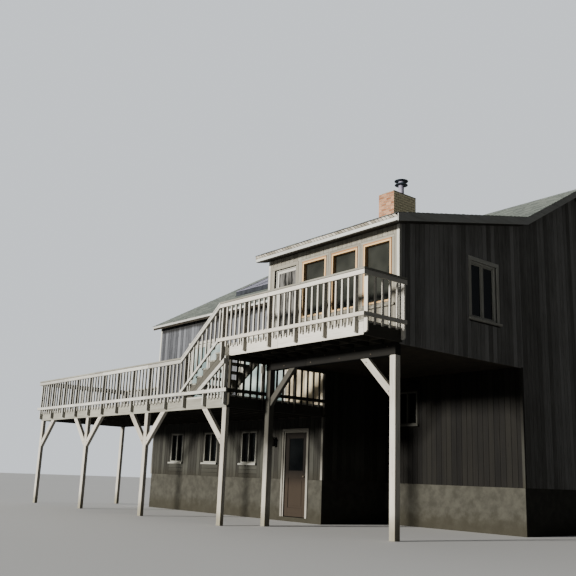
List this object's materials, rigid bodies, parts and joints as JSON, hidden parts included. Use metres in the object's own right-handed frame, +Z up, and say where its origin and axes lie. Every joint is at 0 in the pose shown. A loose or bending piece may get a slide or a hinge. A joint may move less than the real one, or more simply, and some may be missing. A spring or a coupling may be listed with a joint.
{
  "type": "beach house with a raised deck and balcony",
  "caption": "Wooden house on posts with a long railed deck, a stair up to a balcony, a tall glazed end and a brick chimney.",
  "frame": {"origin": "on the ground, under the middle of the whole house with its decks", "axes": "+X along the front to the right, +Y back into the house, +Z up"},
  "size_m": [14.15, 12.293, 9.53],
  "materials": {
    "concrete": "cast concrete, matt",
    "siding": "weathered vertical boards",
    "floor_timber": "sawn timber",
    "shingles": "asphalt shingles",
    "deck_timber": "weathered pale timber",
    "painted_wood": "worn pale paint",
    "stained_wood": "stained wood",
    "window_glass": "dark glass",
    "brick": "fired brick",
    "flue_metal": "galvanised"
  },
  "bodies": {
    "house": {"basement_slab": "concrete", "foundation_front": "concrete", "foundation_left": "concrete", "foundation_back": "concrete", "right_foundation": "concrete", "lower_front_wall": "siding", "wall_beside_door": "siding", "wall_over_door": "siding", "left_wall": "siding", "back_wall": "siding", "middle_wall": "siding", "main_floor": "floor_timber", "main_front_wall": "siding", "right_front_wall": "siding", "right_lower_wall": "siding", "right_floor": "floor_timber", "tall_floor": "floor_timber", "tall_front_wall": "siding", "tall_left_wall": "siding", "right_upper_wall": "siding", "main_roof_left": "shingles", "main_roof_right": "shingles", "main_roof_back": "shingles", "tall_roof": "shingles", "roof_fascias": "deck_timber", "roof_skylight": "window_glass", "chimney": "brick", "chimney_flue": "flue_metal", "lower_deck_boards": "deck_timber", "lower_deck_frame": "deck_timber", "deck_posts": "deck_timber", "deck_braces": "deck_timber", "lower_rail_front": "deck_timber", "lower_rail_left": "deck_timber", "lower_rail_back": "deck_timber", "lower_rail_side": "deck_timber", "balcony_boards": "deck_timber", "balcony_frame": "deck_timber", "main_beam": "deck_timber", "balcony_posts": "deck_timber", "balcony_braces": "deck_timber", "balcony_rail_front": "deck_timber", "balcony_rail_right": "deck_timber", "stair_stringers": "deck_timber", "stair_treads": "deck_timber", "stair_rail": "deck_timber", "lower_window_frames": "painted_wood", "lower_window_glass": "window_glass", "tall_window_frames": "stained_wood", "tall_window_glass": "window_glass", "side_window_frames": "painted_wood", "side_window_glass": "window_glass", "sliding_door_frames": "painted_wood", "sliding_door_glass": "window_glass", "door_frame": "painted_wood"},
    "door": {"basement_door": "stained_wood", "basement_door_glass": "window_glass"}
  },
  "joints": [
    {"name": "basement_door_hinge", "type": "hinge", "parent": "house", "child": "door", "pos_m": [1.465, -3.1475, 1.1], "axis": [0, 0, 1], "range_deg": [0, 90]}
  ]
}
